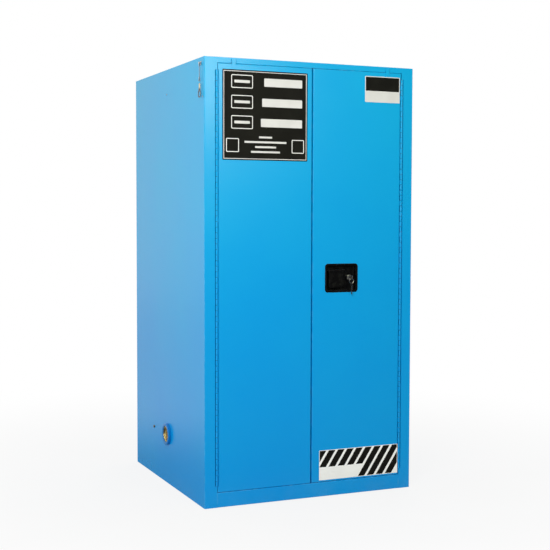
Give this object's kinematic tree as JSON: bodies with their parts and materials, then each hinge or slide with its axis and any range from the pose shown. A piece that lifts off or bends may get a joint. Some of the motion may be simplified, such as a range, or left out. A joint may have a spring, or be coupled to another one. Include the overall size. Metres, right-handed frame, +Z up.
{
  "type": "chemical storage cabinet",
  "caption": "Tall double-walled steel safety cabinet with two self-closing doors on piano hinges, a flush paddle latch, trays on shelves, a leak sump and plugged side vents.",
  "frame": {"origin": "on the floor, under the middle of the cabinet's body", "axes": "+Z up, the doors face -Y, +X to the right of someone who faces the doors"},
  "size_m": [0.888, 0.8866, 1.651],
  "materials": {
    "outer_paint": "semi-gloss powder coat",
    "inner_paint": "satin powder coat",
    "zinc_steel": "zinc plated",
    "brass": "turned",
    "black_paint": "gloss black powder coat",
    "tray_plastic": "moulded polyethylene"
  },
  "bodies": {
    "cabinet": {"left_side_panel": "outer_paint", "right_side_panel": "outer_paint", "back_panel": "outer_paint", "top_panel": "outer_paint", "base_panel": "outer_paint", "top_rail": "outer_paint", "bottom_rail": "outer_paint", "door_lip": "outer_paint", "inner_left_wall": "inner_paint", "inner_right_wall": "inner_paint", "inner_back_wall": "inner_paint", "inner_ceiling": "inner_paint", "sump_pan": "inner_paint", "left_front_standard": "zinc_steel", "left_rear_standard": "zinc_steel", "right_front_standard": "zinc_steel", "right_rear_standard": "zinc_steel", "lower_shelf": "inner_paint", "upper_shelf": "inner_paint", "lower_shelf_tray": "tray_plastic", "upper_shelf_tray": "tray_plastic", "left_vent_sleeve": "outer_paint", "left_vent_bung": "brass", "left_flame_arrester": "zinc_steel", "right_vent_sleeve": "outer_paint", "right_vent_bung": "brass", "right_flame_arrester": "zinc_steel", "ground_screw": "brass", "left_link_anchor": "zinc_steel", "right_link_anchor": "zinc_steel", "left_hinge_frame_leaf": "outer_paint", "left_hinge_pin": "zinc_steel", "right_hinge_frame_leaf": "outer_paint", "right_hinge_pin": "zinc_steel"},
    "left_door": {"left_door_skin": "outer_paint", "left_door_pan": "inner_paint", "left_hinge_door_leaf": "outer_paint", "left_hold_open_tab": "outer_paint", "door_strike": "zinc_steel"},
    "right_door": {"right_door_skin": "outer_paint", "right_door_pan": "inner_paint", "right_hinge_door_leaf": "outer_paint", "right_hold_open_tab": "outer_paint", "latch_dish": "black_paint", "paddle_pin": "zinc_steel"},
    "paddle": {"latch_paddle": "black_paint"},
    "cam": {"latch_cam": "zinc_steel"},
    "upper_rod": {"upper_latch_rod": "zinc_steel"},
    "lower_rod": {"lower_latch_rod": "zinc_steel"},
    "bolt": {"centre_bolt": "zinc_steel"},
    "lock": {"lock_cylinder": "zinc_steel", "lock_key": "zinc_steel", "key_ring": "zinc_steel"},
    "hanging_key": {"spare_key": "zinc_steel"},
    "left_link": {"left_link_wire": "zinc_steel", "left_fusible_link": "brass", "left_pull_ring": "zinc_steel"},
    "right_link": {"right_link_wire": "zinc_steel", "right_fusible_link": "brass", "right_pull_ring": "zinc_steel"}
  },
  "joints": [
    {"name": "left_door_swing", "type": "hinge", "parent": "cabinet", "child": "left_door", "pos_m": [-0.384, -0.43, 0.8425], "axis": [0, 0, -1], "range_deg": [0, 110], "stiffness_Nm_per_rad": 2},
    {"name": "right_door_swing", "type": "hinge", "parent": "cabinet", "child": "right_door", "pos_m": [0.384, -0.43, 0.8425], "axis": [0, 0, 1], "range_deg": [0, 110], "stiffness_Nm_per_rad": 2},
    {"name": "paddle_lift", "type": "hinge", "parent": "right_door", "child": "paddle", "pos_m": [0.10375, -0.4272, 0.8682], "axis": [-1, 0, 0], "range_deg": [0, 30], "stiffness_Nm_per_rad": 0.5},
    {"name": "cam_turn", "type": "hinge", "parent": "right_door", "child": "cam", "pos_m": [0.09275, -0.4062, 0.8419], "axis": [0, 1, 0], "range_deg": [0, 33.2]},
    {"name": "upper_rod_slide", "type": "slide", "parent": "right_door", "child": "upper_rod", "axis": [0, 0, -1], "range_m": [0, 0.0127]},
    {"name": "lower_rod_slide", "type": "slide", "parent": "right_door", "child": "lower_rod", "axis": [0, 0, 1], "range_m": [0, 0.0127]},
    {"name": "bolt_slide", "type": "slide", "parent": "right_door", "child": "bolt", "axis": [1, 0, 0], "range_m": [0, 0.0127]},
    {"name": "lock_turn", "type": "hinge", "parent": "right_door", "child": "lock", "pos_m": [0.16225, -0.426, 0.84], "axis": [0, -1, 0], "range_deg": [0, 90]},
    {"name": "spare_key_swing", "type": "hinge", "parent": "lock", "child": "hanging_key", "pos_m": [0.16225, -0.4446, 0.82873], "axis": [0, 1, 0], "range_deg": [-40, 40]},
    {"name": "left_link_swing", "type": "hinge", "parent": "cabinet", "child": "left_link", "pos_m": [-0.438, -0.396, 1.63], "axis": [1, 0, 0], "range_deg": [-75, 75]},
    {"name": "right_link_swing", "type": "hinge", "parent": "cabinet", "child": "right_link", "pos_m": [0.438, -0.396, 1.63], "axis": [1, 0, 0], "range_deg": [-75, 75]}
  ],
  "couplings": [
    {"joint": "cam_turn", "follows": "paddle_lift", "ratio": 1.1},
    {"joint": "upper_rod_slide", "follows": "paddle_lift", "m_per_rad": 0.024},
    {"joint": "lower_rod_slide", "follows": "paddle_lift", "m_per_rad": 0.024},
    {"joint": "bolt_slide", "follows": "paddle_lift", "m_per_rad": 0.024}
  ]
}
